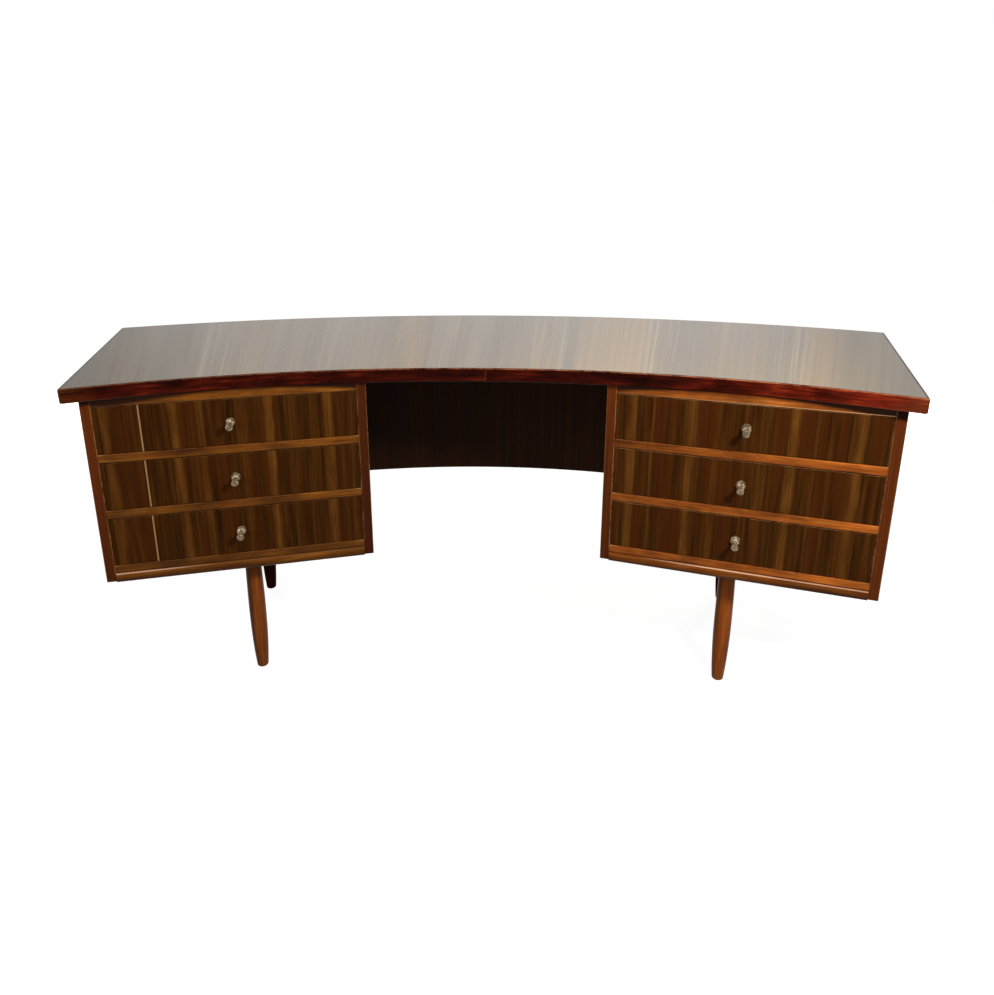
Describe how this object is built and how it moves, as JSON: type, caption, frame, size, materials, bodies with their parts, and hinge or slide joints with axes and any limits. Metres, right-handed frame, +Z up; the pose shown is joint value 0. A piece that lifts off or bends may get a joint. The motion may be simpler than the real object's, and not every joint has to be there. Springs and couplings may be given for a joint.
{
  "type": "executive desk",
  "caption": "Crescent-plan executive desk with a curved lipped top, a pedestal of sliding drawers on either side, a bent modesty panel and turned tapered legs.",
  "frame": {"origin": "on the floor, under the middle of the top's bounding box", "axes": "+X to the sitter's right along the desk, +Y away from the sitter, +Z up"},
  "size_m": [2.0284, 0.8448, 0.77],
  "materials": {
    "top_veneer": "polished",
    "edge_mahogany": "satin",
    "frame_mahogany": "satin",
    "drawer_veneer": "satin",
    "panel_veneer": "satin",
    "inner_wood": "plain",
    "drawer_box": "plain",
    "leg_mahogany": "satin",
    "knob_brass": "aged",
    "screw_steel": "plain"
  },
  "bodies": {
    "carcass": {"top_panel": "top_veneer", "front_lipping_left": "edge_mahogany", "front_lipping_right": "edge_mahogany", "rear_lipping": "edge_mahogany", "left_lipping": "edge_mahogany", "right_lipping": "edge_mahogany", "modesty_panel": "panel_veneer", "panel_battens": "frame_mahogany", "top_screws": "screw_steel", "left_inner_side": "frame_mahogany", "left_outer_side": "frame_mahogany", "left_bottom_board": "frame_mahogany", "left_back_panel": "panel_veneer", "left_top_rail": "frame_mahogany", "left_rails": "frame_mahogany", "left_runners": "inner_wood", "left_top_cleats": "inner_wood", "left_front_leg": "leg_mahogany", "left_rear_leg": "leg_mahogany", "right_inner_side": "frame_mahogany", "right_outer_side": "frame_mahogany", "right_bottom_board": "frame_mahogany", "right_back_panel": "panel_veneer", "right_top_rail": "frame_mahogany", "right_rails": "frame_mahogany", "right_runners": "inner_wood", "right_top_cleats": "inner_wood", "right_front_leg": "leg_mahogany", "right_rear_leg": "leg_mahogany"},
    "left_drawer_1": {"left_drawer_1_front": "drawer_veneer", "left_drawer_1_sides": "drawer_box", "left_drawer_1_back": "drawer_box", "left_drawer_1_bottom": "drawer_box", "left_drawer_1_knob": "knob_brass"},
    "left_drawer_2": {"left_drawer_2_front": "drawer_veneer", "left_drawer_2_sides": "drawer_box", "left_drawer_2_back": "drawer_box", "left_drawer_2_bottom": "drawer_box", "left_drawer_2_knob": "knob_brass"},
    "left_drawer_3": {"left_drawer_3_front": "drawer_veneer", "left_drawer_3_sides": "drawer_box", "left_drawer_3_back": "drawer_box", "left_drawer_3_bottom": "drawer_box", "left_drawer_3_knob": "knob_brass"},
    "right_drawer_1": {"right_drawer_1_front": "drawer_veneer", "right_drawer_1_sides": "drawer_box", "right_drawer_1_back": "drawer_box", "right_drawer_1_bottom": "drawer_box", "right_drawer_1_knob": "knob_brass"},
    "right_drawer_2": {"right_drawer_2_front": "drawer_veneer", "right_drawer_2_sides": "drawer_box", "right_drawer_2_back": "drawer_box", "right_drawer_2_bottom": "drawer_box", "right_drawer_2_knob": "knob_brass"},
    "right_drawer_3": {"right_drawer_3_front": "drawer_veneer", "right_drawer_3_sides": "drawer_box", "right_drawer_3_back": "drawer_box", "right_drawer_3_bottom": "drawer_box", "right_drawer_3_knob": "knob_brass"}
  },
  "joints": [
    {"name": "left_drawer_1_slide", "type": "slide", "parent": "carcass", "child": "left_drawer_1", "axis": [0.279, -0.9603, 0], "range_m": [0, 0.4]},
    {"name": "left_drawer_2_slide", "type": "slide", "parent": "carcass", "child": "left_drawer_2", "axis": [0.279, -0.9603, 0], "range_m": [0, 0.4]},
    {"name": "left_drawer_3_slide", "type": "slide", "parent": "carcass", "child": "left_drawer_3", "axis": [0.279, -0.9603, 0], "range_m": [0, 0.4]},
    {"name": "right_drawer_1_slide", "type": "slide", "parent": "carcass", "child": "right_drawer_1", "axis": [-0.279, -0.9603, 0], "range_m": [0, 0.4]},
    {"name": "right_drawer_2_slide", "type": "slide", "parent": "carcass", "child": "right_drawer_2", "axis": [-0.279, -0.9603, 0], "range_m": [0, 0.4]},
    {"name": "right_drawer_3_slide", "type": "slide", "parent": "carcass", "child": "right_drawer_3", "axis": [-0.279, -0.9603, 0], "range_m": [0, 0.4]}
  ]
}
